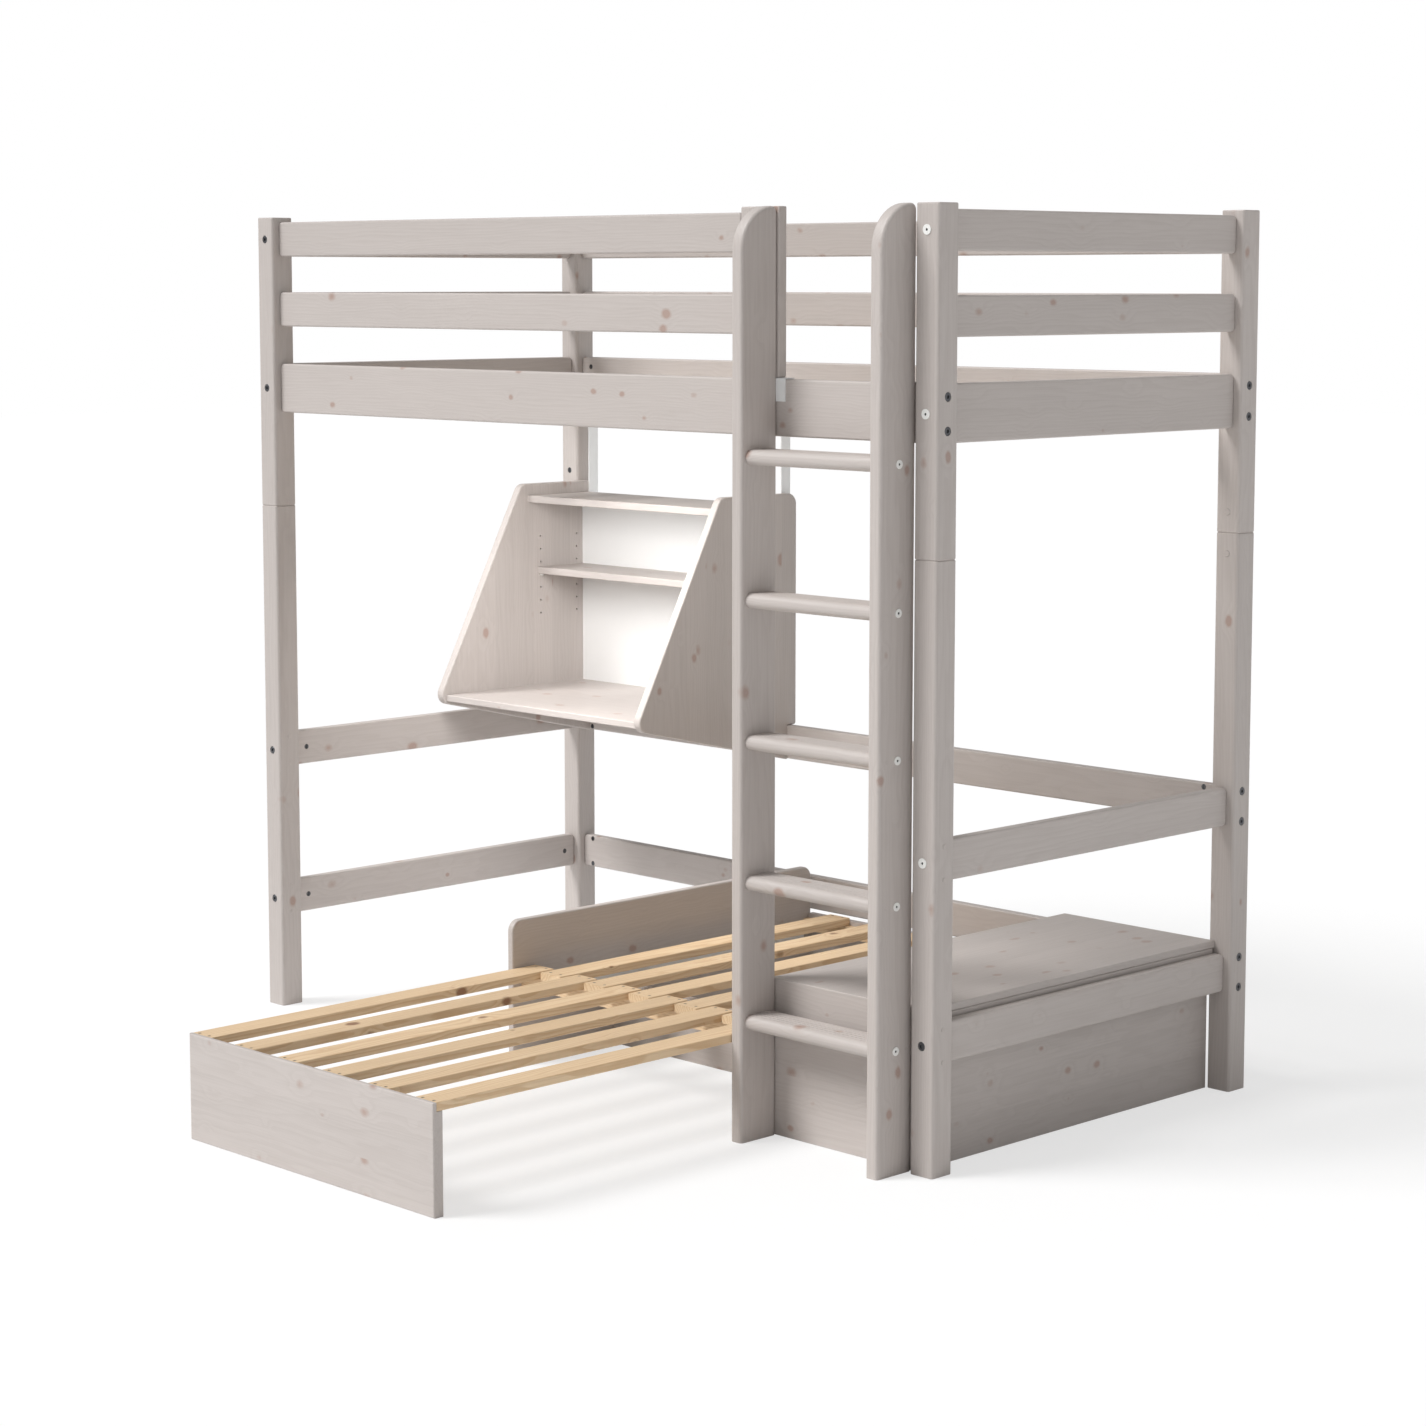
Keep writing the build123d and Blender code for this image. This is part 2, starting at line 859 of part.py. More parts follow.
def notched_batten(x0, x1, y0, thick, free_first, free_count, cutters):
    # Shallow notches let the other set of slats pass without rubbing
    body = box_at(x0, x1, y0, y0 + thick, slat_low_z - seat_batten_high, slat_low_z)
    for step in range(free_count):
        left = free_first + step * slat_pitch - 3
        right = left + slat_wide + 6
        left = max(left, x0 - 1)
        right = min(right, x1 + 1)
        low = slat_low_z - slide_clear
        body = body - box_at(left, right, y0 - 1, y0 + thick + 1, low, slat_low_z + 1)
    return drill(body, cutters)


def pull_board(cutters):
    x0 = pull_first_x
    x1 = pull_first_x + (pull_count - 1) * slat_pitch + slat_wide
    y0 = board_front
    y1 = board_front + board_thick
    body = box_at(x0, x1, y0, y1, 0, slat_top_z)
    front_edges = body.faces().sort_by(Axis.Y)[0].edges()
    body = fillet(front_edges, board_edge)
    rebate = box_at(x0 - 1, x1 + 1, y0 + board_lip, y1 + 1, slat_low_z, slat_top_z + 1)
    return drill(body - rebate, cutters)


def track(face, sign):
    # Steel angle with a row of slots in its level lip
    y1 = sofa_back_y - back_batten_thick - 1
    low = track_top_z - track_leg
    leg = box_at(min(face, face + sign * track_thick), max(face, face + sign * track_thick),
                 track_front, y1, low, track_top_z)
    reach = face + sign * track_lip
    lip = box_at(min(face, reach), max(face, reach), track_front, y1,
                 track_top_z - track_thick, track_top_z)
    body = leg + lip
    middle = face + sign * (track_thick + (track_lip - track_thick) / 2)
    count = int((y1 - track_front - 20) / track_slot_pitch)
    for step in range(count):
        y = track_front + 14 + step * track_slot_pitch
        body = body - box_at(middle - track_slot_wide / 2, middle + track_slot_wide / 2,
                             y, y + track_slot_long, track_top_z - 5, track_top_z + 1)
    return body


def glides():
    low = track_top_z + glide_gap
    y0 = pull_batten_y
    y1 = pull_batten_y + pull_batten_thick
    left = sofa_in + pull_batten_side_gap
    right = box_left - pull_batten_side_gap
    pieces = []
    for x0, x1 in ((left, left + glide_long), (right - glide_long, right)):
        pieces.append(box_at(x0, x1, y0, y1, low, low + glide_thick))
    return pieces


def make_deck():
    y0 = box_front + sofa_board
    deck = box_at(box_left, deck_right, y0, box_back, box_high - deck_thick, box_high)
    corner = box_at(box_right, deck_right + 1, y0 - 1, post + deck_post_gap, 0, box_high + 1)
    deck = deck - corner
    right = deck.edges().filter_by(Axis.Y).group_by(Axis.X)[-1]
    deck = fillet(right, box_edge)
    top = deck.faces().sort_by(Axis.Z)[-1]
    left = top.edges().filter_by(Axis.Y).sort_by(Axis.X)[0]
    return fillet(left, 2.0)


sofa_in = sofa_left + sofa_board
sofa_back_y = box_back

# Hardware first: the same shapes place the fasteners and bore their holes
bolts = frame_bolts()
bolt_cuts = measured([bolt_cutter(*bolt) for bolt in bolts])
nut_cuts = measured([nut_cutter(bolt) for bolt in bolts])
bore_radius = dowel_radius + dowel_clear
frame_bores = [dowel_shape(point, axis, bore_radius, dowel_half + 0.5) for point, axis in frame_dowels()]
dowel_cuts = measured(frame_bores)
desk_bores = [dowel_shape(point, axis, bore_radius, dowel_half - 2.5) for point, axis in desk_dowels()]
desk_cuts = measured(desk_bores)
plug_cuts = measured([plug_cutter(*place) for place in plug_places()])
post_cuts = bolt_cuts + dowel_cuts + plug_cuts + measured(joint_cutters())
rail_cuts = bolt_cuts + nut_cuts + dowel_cuts

# Corner posts
corners = (
    ("front_left", 0.0, 0.0),
    ("front_right", length - post, 0.0),
    ("back_left", 0.0, width - post),
    ("back_right", length - post, width - post),
)
for name, x, y in corners:
    save("post_" + name + "_lower", [make_post(x, y, post_cuts, True)])
    save("post_" + name + "_upper", [make_post(x, y, post_cuts, False)])

# Rails that carry the slatted base
save("bed_rail_front", [long_rail(front_rail_y, bed_rail_z, bed_rail_high, rail_cuts)])
save("bed_rail_back", [long_rail(back_rail_y, bed_rail_z, bed_rail_high, rail_cuts)])
save("bed_rail_left", [end_rail(left_rail_x, bed_rail_z, bed_rail_high, rail_cuts)])
save("bed_rail_right", [end_rail(right_rail_x, bed_rail_z, bed_rail_high, rail_cuts)])

# Guard rails
guard_levels = (guard_top_z, guard_middle_z)
save("guard_rails_front", [front_guard(z, rail_cuts) for z in guard_levels])
save("guard_end_batten", [make_guard_batten(dowel_cuts)])
save("guard_rails_back", [long_rail(back_rail_y, z, guard_high, rail_cuts) for z in guard_levels])
save("guard_rails_left", [end_rail(left_rail_x, z, guard_high, rail_cuts) for z in guard_levels])
save("guard_rails_right", [end_rail(right_rail_x, z, guard_high, rail_cuts) for z in guard_levels])

# Lower rails
lower_levels = (lower_top_z, lower_bottom_z)
save("lower_rails_back", [long_rail(back_rail_y, z, lower_high, rail_cuts) for z in lower_levels])
save("lower_rails_left", [end_rail(left_rail_x, z, lower_high, rail_cuts) for z in lower_levels])
save("lower_rails_right", [end_rail(right_rail_x, z, lower_high, rail_cuts) for z in lower_levels])

# Upper slatted base
bed_spots = bed_screw_spots()
bed_cuts = measured([screw_cutter(*spot) for spot in bed_spots])
save("bed_ledgers", [drill(piece, bed_cuts) for piece in ledgers()])
save("bed_slats", [drill(piece, bed_cuts) for piece in bed_slats()])

# Frame fasteners
save("frame_bolts", [bolt_shape(*bolt) for bolt in bolts])
nuts = [nut_shape(bolt) for bolt in bolts]
joint_nuts = [joint_nut(*place) for place in joint_nut_places()]
save("cross_nuts", nuts + joint_nuts)
save("post_joint_rods", joint_rods())
joint_plugs = [joint_plug(*place) for place in joint_nut_places() if place[0][0] > length / 2]
save("hole_plugs", [plug_shape(*place) for place in plug_places()] + joint_plugs)
save("ring_caps", ring_caps())
dowel_shapes = [dowel_shape(point, axis, dowel_radius, dowel_half) for point, axis in frame_dowels()]
for point, axis in desk_dowels():
    dowel_shapes.append(dowel_shape(point, axis, dowel_radius, dowel_half - 3))
save("wood_dowels", dowel_shapes)

# Ladder
ladder_cuts = measured(ladder_dowel_cutters() + rung_screw_cutters())
save("ladder_stile_left", [make_stile(stile_left_x, ladder_cuts)])
save("ladder_stile_right", [make_stile(stile_left_x + ladder_wide - stile_thick, ladder_cuts)])
save("ladder_rungs", [make_rung(z, ladder_cuts) for z in rung_levels()])
save("ladder_hooks", [hook_profile(x) for x in hook_lefts()])
save("ladder_screws", rung_screws())
save("ladder_dowels", ladder_dowels())

# Desk
strap_cuts = measured([side_screw_cutter(*spot) for spot in strap_screw_spots()])
side_cuts = desk_cuts + measured(pin_cutters() + panel_groove_cutters()) + strap_cuts
save("desk_side_left", [desk_side(desk_left, side_cuts)])
save("desk_side_right", [desk_side(desk_left + desk_wide - desk_board, side_cuts)])
desk_top_back = back_panel_y + back_panel_thick
save("desk_top", [desk_shelf(desk_top_front, desk_top_back, desk_top_z - desk_top_thick, desk_top_z,
                             shelf_edge, desk_cuts)])
save("desk_shelf_top", [desk_shelf(shelf_top_front, shelf_top_back, shelf_top_z - shelf_top_thick,
                                   shelf_top_z, shelf_edge, desk_cuts)])
save("desk_shelf_middle", [desk_shelf(shelf_mid_front, back_panel_y, shelf_mid_z - shelf_mid_thick,
                                      shelf_mid_z, shelf_edge, [])])
save("desk_back_panel", [back_panel()])
inner_left, inner_right = desk_inner_faces()
save("desk_straps", [drill(strap(inner_left, 1), strap_cuts), drill(strap(inner_right, -1), strap_cuts)])
save("desk_shelf_pins", shelf_pins())

# Sofa base
side = board(sofa_left, sofa_in, sofa_front, sofa_side_back, 0, sofa_high, Axis.X, 0, 0)
side = fillet(side.edges().filter_by(Axis.X).group_by(Axis.Z)[-1], sofa_corner)
side_rim = []
for side_face in side.faces().filter_by(Axis.X):
    for side_edge in side_face.edges():
        if side_edge.center().Z > 1:
            side_rim.append(side_edge)
save("sofa_side_panel", [fillet(side_rim, sofa_edge)])
save("sofa_cross_panel", [box_at(sofa_in, box_left, cross_panel_y, cross_panel_y + sofa_board,
                                 0, cross_panel_high)])
save("sofa_back_panel", [box_at(sofa_in, box_left + sofa_back_behind, sofa_back_y,
                                sofa_back_y + sofa_back_thick, 0, sofa_back_high)])
fixed_first_x = pull_first_x + slat_pitch / 2
fixed_count = pull_count - 1
fixed_rows = (fixed_batten_y + fixed_batten_thick / 2, sofa_back_y - back_batten_thick / 2)
fixed_spots = seat_screw_spots(fixed_first_x, fixed_count, fixed_rows)
fixed_cuts = measured([screw_cutter(*spot) for spot in fixed_spots])
front_batten = notched_batten(sofa_in, box_left, fixed_batten_y, fixed_batten_thick,
                              pull_first_x, pull_count, fixed_cuts)
rear_batten = notched_batten(sofa_in, box_left, sofa_back_y - back_batten_thick, back_batten_thick,
                             pull_first_x, pull_count, fixed_cuts)
save("sofa_battens", [front_batten, rear_batten])
save("sofa_fixed_slats", seat_slats(fixed_first_x, fixed_count, fixed_front, sofa_back_y, fixed_cuts))
save("sofa_tracks", [track(sofa_in, 1), track(box_left, -1)])
strap_screws = [side_screw(*spot) for spot in strap_screw_spots()]
slat_screws = [wood_screw(*spot) for spot in fixed_spots + bed_spots]
save("wood_screws", slat_screws + strap_screws)

# Storage box at the end of the seat
box_in_y = box_front + sofa_board
under_deck = box_high - deck_thick
front_panel = box_at(box_left, box_right, box_front, box_in_y, 0, box_high)
front_panel = fillet(front_panel.faces().sort_by(Axis.Y)[0].edges(), 2.0)
save("box_front_panel", [front_panel])
save("box_left_panel", [box_at(box_left, box_left + sofa_board, box_in_y, box_back, 0, under_deck)])
save("box_right_panel", [box_at(box_right - sofa_board, box_right, box_in_y, box_back, 0, under_deck)])
save("box_back_panel", [box_at(box_left + sofa_board, box_right - sofa_board,
                               box_back - sofa_board, box_back, 0, under_deck)])
save("box_deck", [make_deck()])
filler = box_at(box_right, deck_right - 0.5, post + deck_post_gap, box_back - 6,
                under_deck - filler_high, under_deck)
save("box_edge_strip", [filler])

# Pull-out part of the seat
pull_rows = (board_front + (board_lip + board_thick) / 2, pull_batten_y + pull_batten_thick / 2)
pull_spots = seat_screw_spots(pull_first_x, pull_count, pull_rows)
pull_cuts = measured([screw_cutter(*spot) for spot in pull_spots])
save("pullout_front_board", [pull_board(pull_cuts)])
pull_left = sofa_in + pull_batten_side_gap
pull_right = box_left - pull_batten_side_gap
save("pullout_batten", [notched_batten(pull_left, pull_right, pull_batten_y, pull_batten_thick,
                                       fixed_first_x, fixed_count, pull_cuts)])
slat_start = board_front + board_lip + slat_front_gap
save("pullout_slats", seat_slats(pull_first_x, pull_count, slat_start, slat_back_y, pull_cuts))
save("pullout_glides", glides())
save("pullout_screws", [wood_screw(*spot) for spot in pull_spots])
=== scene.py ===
import bpy
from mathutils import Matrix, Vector

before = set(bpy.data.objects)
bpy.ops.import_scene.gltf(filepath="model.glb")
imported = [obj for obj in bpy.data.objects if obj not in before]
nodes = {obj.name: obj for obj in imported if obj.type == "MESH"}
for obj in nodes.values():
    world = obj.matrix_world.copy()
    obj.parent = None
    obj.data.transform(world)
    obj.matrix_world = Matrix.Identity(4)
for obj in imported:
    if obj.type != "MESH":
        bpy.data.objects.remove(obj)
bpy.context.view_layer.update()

print("frame loaded:", len(nodes), "pieces")


def setInputs(tree, node, values):
    # The output of another node is linked, a plain value is set
    for key, value in values.items():
        if isinstance(value, bpy.types.NodeSocket):
            tree.links.new(value, node.inputs[key])
        else:
            node.inputs[key].default_value = value


def addNode(tree, kind, values=None, **settings):
    # One shader node, with its settings and its fixed or linked inputs
    node = tree.nodes.new("ShaderNode" + kind)
    for key, value in settings.items():
        setattr(node, key, value)
    setInputs(tree, node, values or {})
    return node


def calc(tree, operation, *values):
    node = addNode(tree, "Math", dict(enumerate(values)), operation=operation)
    return node.outputs[0]


def vec(tree, operation, *values):
    node = addNode(tree, "VectorMath", dict(enumerate(values)), operation=operation)
    return node.outputs["Value" if operation == "LENGTH" else "Vector"]


def join(tree, *values):
    return addNode(tree, "CombineXYZ", dict(enumerate(values))).outputs[0]


def channels(tree, color):
    return addNode(tree, "SeparateColor", {0: color}).outputs


def objectPlace(tree):
    return addNode(tree, "TexCoord").outputs["Object"]


def stretch(tree, place, scale):
    return addNode(tree, "Mapping", {"Vector": place, "Scale": scale}).outputs[0]


def noise(tree, place, scale=1.0, detail=2.0, rough=0.5):
    values = {"Vector": place, "Scale": scale, "Detail": detail, "Roughness": rough}
    return addNode(tree, "TexNoise", values).outputs["Fac"]


def spread(tree, value, low, high, newLow=0.0, newHigh=1.0, smooth=True):
    # A value moved from one range to another, with soft or with straight ends
    values = {"Value": value, "From Min": low, "From Max": high,
              "To Min": newLow, "To Max": newHigh}
    curve = "SMOOTHSTEP" if smooth else "LINEAR"
    return addNode(tree, "MapRange", values, interpolation_type=curve).outputs[0]


def weigh(tree, *terms):
    # Sum of patterns, each times its weight
    shares = [calc(tree, "MULTIPLY", pattern, weight) for pattern, weight in terms]
    total = shares[0]
    for share in shares[1:]:
        total = calc(tree, "ADD", total, share)
    return total


def vary(tree, pattern, middle, swing):
    # A value that swings about its middle with a pattern that runs from 0 to 1
    return calc(tree, "ADD", calc(tree, "MULTIPLY", pattern, swing), middle - swing / 2)


def rgba(color):
    return (*color, 1.0)


def blend(tree, amount, first, second):
    # The mix node has sockets of every type, so each is found by its name and type
    node = addNode(tree, "Mix", data_type="RGBA")
    wanted = {("Factor", "VALUE"): amount, ("A", "RGBA"): first, ("B", "RGBA"): second}
    for index, socket in enumerate(node.inputs):
        if (socket.name, socket.type) in wanted:
            setInputs(tree, node, {index: wanted[socket.name, socket.type]})
    return [socket for socket in node.outputs if socket.type == "RGBA"][0]


def tint(tree, color, mask, share, paint):
    # A paint over a colour where the mask shows, as strongly as the share says
    return blend(tree, calc(tree, "MULTIPLY", mask, share), color, rgba(paint))


def startMaterial(name):
    material = bpy.data.materials.new(name)
    material.use_nodes = True
    tree = material.node_tree
    tree.nodes.clear()
    shader = addNode(tree, "BsdfPrincipled")
    addNode(tree, "OutputMaterial", {"Surface": shader.outputs[0]})
    return material, tree, shader


def setSurface(tree, shader, color, rough, height, relief):
    # Colour, roughness and relief, which is a strength and a depth in metres
    strength, depth = relief
    bump = addNode(tree, "Bump", {"Height": height, "Strength": strength, "Distance": depth})
    values = {"Base Color": color, "Roughness": rough, "Normal": bump.outputs[0]}
    setInputs(tree, shader, values)


# Figure of the pine, the same in every finish: sizes in metres, a grain as how often it
# repeats in a metre along and across the board, a fade as where it starts and ends
pineFigure = {
    "seedStep": 1.37,
    "boardStep": 2.618,
    "boardShift": (37.0, 11.0, 13.0),
    "knotCell": (0.20, 0.045, 0.045),
    "knotShape": (0.72, 1.0, 1.0),
    "knotScatter": 0.85,
    "knotRadius": (0.0040, 0.0100),
    "knotEdgeGrain": 90.0,
    "knotEdgeSwing": 0.004,
    "knotRings": 3.3,
    "coreFade": (0.80, 1.05),
    "rimFade": (0.95, 1.55),
    "bulgeFade": (0.6, 4.5),
    "pithAside": 0.70,
    "pithAbove": 0.90,
    "wanderGrain": (1.1, 9.0, 9.0),
    "wanderSwing": 0.085,
    "ringBulge": 0.010,
    "ringPitch": 0.0074,
    "ringRise": (0.25, 0.88),
    "ringDrop": (0.90, 1.0),
    "fibreGrain": (7.0, 340.0, 340.0),
    "fibreFade": (0.40, 0.72),
    "poreGrain": (26.0, 1100.0, 1100.0),
    "poreFade": (0.60, 0.74),
    "patchGrain": (1.6, 13.0, 13.0),
    "toneFade": (0.25, 1.30),
    "boardTone": 0.55,
    "paleShare": 0.4,
    "poreShows": 0.16,
    "rimShows": 0.62,
    "coreShows": 0.85,
    "roughSwing": 0.16,
    "coreSmooths": 0.10,
    "fibreHeight": 0.5,
    "ringHeight": 0.3,
    "poreHeight": -0.35,
    "rimHeight": 0.25,
    "relief": (0.35, 0.0005),
    "coatRoughness": 0.35,
    "ior": 1.45,
}

# Warm grey glazed pine: linear colours, and how strongly each feature shows
glazedPine = {
    "light": (0.530, 0.484, 0.458),
    "ring": (0.445, 0.397, 0.370),
    "fibre": (0.415, 0.368, 0.342),
    "knotRim": (0.415, 0.310, 0.268),
    "knotCore": (0.385, 0.270, 0.228),
    "ringShows": 0.26,
    "fibreShows": 0.22,
    "toneShows": 0.07,
    "knotShare": 0.85,
    "roughness": 0.46,
    "coat": 0.06,
}

# Clear-lacquered pale pine of the slats and battens
naturalPine = {
    "light": (0.800, 0.610, 0.400),
    "ring": (0.640, 0.420, 0.225),
    "fibre": (0.560, 0.360, 0.190),
    "knotRim": (0.250, 0.120, 0.060),
    "knotCore": (0.330, 0.165, 0.080),
    "ringShows": 0.62,
    "fibreShows": 0.28,
    "toneShows": 0.14,
    "knotShare": 0.45,
    "roughness": 0.50,
    "coat": 0.04,
}

# The same pine on the upper base, painted paler to stand in for the light it reflects, since it
# is seen only by that light
paintedLightPine = dict(naturalPine, light=(0.700, 0.625, 0.540), ring=(0.600, 0.500, 0.400))

# The axis along the grain, and the two across it
grainAxes = {"x": (0, 1, 2), "y": (1, 0, 2), "z": (2, 0, 1)}


def makeWood(name, look, grain, seed, split=None):
    # Solid pine, cut from a log that is laid out along the grain, in metres
    figure = pineFigure
    material, tree, shader = startMaterial(name)
    parts = addNode(tree, "SeparateXYZ", {0: objectPlace(tree)}).outputs
    along, across, upward = (parts[axis] for axis in grainAxes[grain])
    own = addNode(tree, "Value").outputs[0]
    own.default_value = seed * figure["seedStep"]
    if split:
        # Staves or single boards of one node: each gets a number of its own
        axis, start, pitch = split
        offset = calc(tree, "SUBTRACT", parts["xyz".index(axis)], start)
        index = calc(tree, "FLOOR", calc(tree, "DIVIDE", offset, pitch))
        own = calc(tree, "ADD", own, calc(tree, "MULTIPLY", index, figure["boardStep"]))
    chance = addNode(tree, "TexWhiteNoise", {"W": own}, noise_dimensions="1D")
    luck = channels(tree, chance.outputs["Color"])
    log = join(tree, *(
        calc(tree, "ADD", part, calc(tree, "MULTIPLY", share, shift))
        for part, share, shift in zip((along, across, upward), luck, figure["boardShift"])))

    # Knots: points in long cells, with their real distance in metres
    cells = vec(tree, "DIVIDE", log, figure["knotCell"])
    knots = addNode(tree, "TexVoronoi", {
        "Vector": cells, "Scale": 1.0, "Randomness": figure["knotScatter"]}).outputs
    away = vec(tree, "SUBTRACT", cells, knots["Position"])
    away = vec(tree, "MULTIPLY", away, figure["knotCell"])
    away = vec(tree, "MULTIPLY", away, figure["knotShape"])
    edge = noise(tree, log, figure["knotEdgeGrain"])
    uneven = vary(tree, edge, 0.0, figure["knotEdgeSwing"])
    distance = calc(tree, "ADD", vec(tree, "LENGTH", away), uneven)
    knotLuck = channels(tree, knots["Color"])
    present = calc(tree, "LESS_THAN", knotLuck[0], look["knotShare"])
    radius = spread(tree, knotLuck[1], 0.0, 1.0, *figure["knotRadius"], smooth=False)
    ratio = calc(tree, "DIVIDE", distance, radius)
    core, rim, bulge = (
        calc(tree, "MULTIPLY", spread(tree, ratio, *figure[fade], 1.0, 0.0), present)
        for fade in ("coreFade", "rimFade", "bulgeFade"))

    # Growth rings about a pith beside the board, wandering and bulging at the knots
    aside = calc(tree, "ADD", across, vary(tree, luck[0], 0.0, figure["pithAside"]))
    above = calc(tree, "ADD", upward, vary(tree, luck[1], 0.0, figure["pithAbove"]))
    reach = vec(tree, "LENGTH", join(tree, aside, above, 0.0))
    wander = noise(tree, stretch(tree, log, figure["wanderGrain"]), detail=3.0, rough=0.55)
    reach = calc(tree, "ADD", reach, vary(tree, wander, 0.0, figure["wanderSwing"]))
    reach = calc(tree, "ADD", reach, calc(tree, "MULTIPLY", bulge, figure["ringBulge"]))
    turn = calc(tree, "FRACT", calc(tree, "DIVIDE", reach, figure["ringPitch"]))
    rise = spread(tree, turn, *figure["ringRise"])
    drop = spread(tree, turn, *figure["ringDrop"], 1.0, 0.0)
    ring = calc(tree, "MULTIPLY", rise, drop)

    # Fibre, dashes of pores, and the slow change of tone in a board and from board to board
    fibre = noise(tree, stretch(tree, log, figure["fibreGrain"]), detail=3.0, rough=0.6)
    dashes = noise(tree, stretch(tree, log, figure["poreGrain"]), detail=1.0)
    pores = spread(tree, dashes, *figure["poreFade"])
    patch = noise(tree, stretch(tree, log, figure["patchGrain"]))
    tone = calc(tree, "ADD", patch, calc(tree, "MULTIPLY", luck[2], figure["boardTone"]))

    streaks = spread(tree, fibre, *figure["fibreFade"])
    color = tint(tree, rgba(look["light"]), ring, look["ringShows"], look["ring"])
    color = tint(tree, color, streaks, look["fibreShows"], look["fibre"])
    color = tint(tree, color, pores, figure["poreShows"], look["fibre"])
    color = tint(tree, color, rim, figure["rimShows"], look["knotRim"])
    heart = calc(tree, "FRACT", calc(tree, "MULTIPLY", ratio, figure["knotRings"]))
    coreColor = blend(tree, heart, rgba(look["knotCore"]), rgba(look["knotRim"]))
    color = blend(tree, calc(tree, "MULTIPLY", core, figure["coreShows"]), color, coreColor)
    darkest = 1.0 - look["toneShows"]
    palest = 1.0 + figure["paleShare"] * look["toneShows"]
    bright = spread(tree, tone, *figure["toneFade"], darkest, palest, smooth=False)
    color = vec(tree, "MULTIPLY", color, join(tree, bright, bright, bright))

    rough = vary(tree, fibre, look["roughness"], figure["roughSwing"])
    smoother = calc(tree, "MULTIPLY", core, figure["coreSmooths"])
    rough = calc(tree, "SUBTRACT", rough, smoother)
    height = weigh(tree, (fibre, figure["fibreHeight"]), (ring, figure["ringHeight"]),
                   (pores, figure["poreHeight"]), (rim, figure["rimHeight"]))
    setSurface(tree, shader, color, rough, height, figure["relief"])
    setInputs(tree, shader, {"Coat Weight": look["coat"], "IOR": figure["ior"],
                             "Coat Roughness": figure["coatRoughness"]})
    return material


# White powder coat: two tones, and its clouds, specks and orange-peel grain
powderCoat = {
    "color": (0.86, 0.87, 0.87),
    "tone": (0.74, 0.75, 0.75),
    "roughness": 0.36,
    "roughSwing": 0.14,
    "cloudGrain": 14.0,
    "cloudShows": 0.35,
    "speckGrain": 420.0,
    "speckFade": (0.68, 0.76),
    "speckShows": 0.3,
    "peelGrain": 1500.0,
    "relief": (0.3, 0.0002),
    "coat": 0.15,
}


def makePowderCoat(name, look):
    material, tree, shader = startMaterial(name)
    place = objectPlace(tree)
    cloud = noise(tree, place, look["cloudGrain"], 4.0, 0.6)
    peel = noise(tree, place, look["peelGrain"])
    specks = spread(tree, noise(tree, place, look["speckGrain"]), *look["speckFade"])
    color = tint(tree, rgba(look["color"]), cloud, look["cloudShows"], look["tone"])
    color = tint(tree, color, specks, look["speckShows"], look["tone"])
    rough = vary(tree, cloud, look["roughness"], look["roughSwing"])
    setSurface(tree, shader, color, rough, peel, look["relief"])
    setInputs(tree, shader, {"Coat Weight": look["coat"]})
    return material


# Zinc steel: its clouds and scratches, then the colour, worn colour and roughness
# of the bolts and of the screws
zincSteel = {
    "roughSwing": 0.20,
    "cloudGrain": 160.0,
    "cloudShows": 0.35,
    "scratchGrain": (2600.0, 240.0, 900.0),
    "scratchFade": (0.62, 0.78),
    "scratchShows": 0.4,
    "relief": (0.25, 0.0001),
    "metallic": 0.9,
}
boltSteel = dict(zincSteel, color=(0.085, 0.088, 0.095), worn=(0.30, 0.30, 0.31), roughness=0.32)
screwSteel = dict(zincSteel, color=(0.22, 0.20, 0.17), worn=(0.46, 0.43, 0.38), roughness=0.38)


def makeSteel(name, look):
    material, tree, shader = startMaterial(name)
    place = objectPlace(tree)
    cloud = noise(tree, place, look["cloudGrain"], 4.0, 0.65)
    lines = noise(tree, stretch(tree, place, look["scratchGrain"]))
    scratches = spread(tree, lines, *look["scratchFade"])
    wear = weigh(tree, (cloud, look["cloudShows"]), (scratches, look["scratchShows"]))
    color = blend(tree, wear, rgba(look["color"]), rgba(look["worn"]))
    rough = vary(tree, cloud, look["roughness"], look["roughSwing"])
    setSurface(tree, shader, color, rough, scratches, look["relief"])
    setInputs(tree, shader, {"Metallic": look["metallic"]})
    return material


# Smooth white: its clouds and drawn-out grain, then the colours, roughness and grain
# of the moulded plastic and of the board
smoothWhite = {
    "roughSwing": 0.16,
    "cloudGrain": 9.0,
    "cloudShows": 0.45,
    "grainStretch": (0.25, 1.0, 1.0),
    "grainShows": 0.10,
    "relief": (0.2, 0.0002),
}
whitePlastic = dict(smoothWhite, color=(0.87, 0.87, 0.85), tone=(0.78, 0.78, 0.75),
                    roughness=0.34, grain=900.0)
whitePanel = dict(smoothWhite, color=(0.87, 0.87, 0.86), tone=(0.80, 0.80, 0.79),
                  roughness=0.44, grain=260.0)


def makeSmooth(name, look):
    material, tree, shader = startMaterial(name)
    place = objectPlace(tree)
    cloud = noise(tree, place, look["cloudGrain"], 4.0, 0.6)
    fine = noise(tree, stretch(tree, place, look["grainStretch"]), look["grain"], 3.0)
    color = tint(tree, rgba(look["color"]), cloud, look["cloudShows"], look["tone"])
    color = tint(tree, color, fine, look["grainShows"], look["tone"])
    rough = vary(tree, fine, look["roughness"], look["roughSwing"])
    setSurface(tree, shader, color, rough, fine, look["relief"])
    return material


def dress(name, material):
    mesh = nodes[name].data
    mesh.materials.clear()
    mesh.materials.append(material)


# Boards or staves that several pieces share: the axis across them, the place of the
# first edge and the pitch, in metres
guardBoards = ("z", 1.555, 0.16)
lowerBoards = ("z", 0.08, 0.353)
narrowStaves = ("z", 0.0, 0.064)
middleStaves = ("z", 0.0, 0.070)
broadStaves = ("z", 0.0, 0.076)

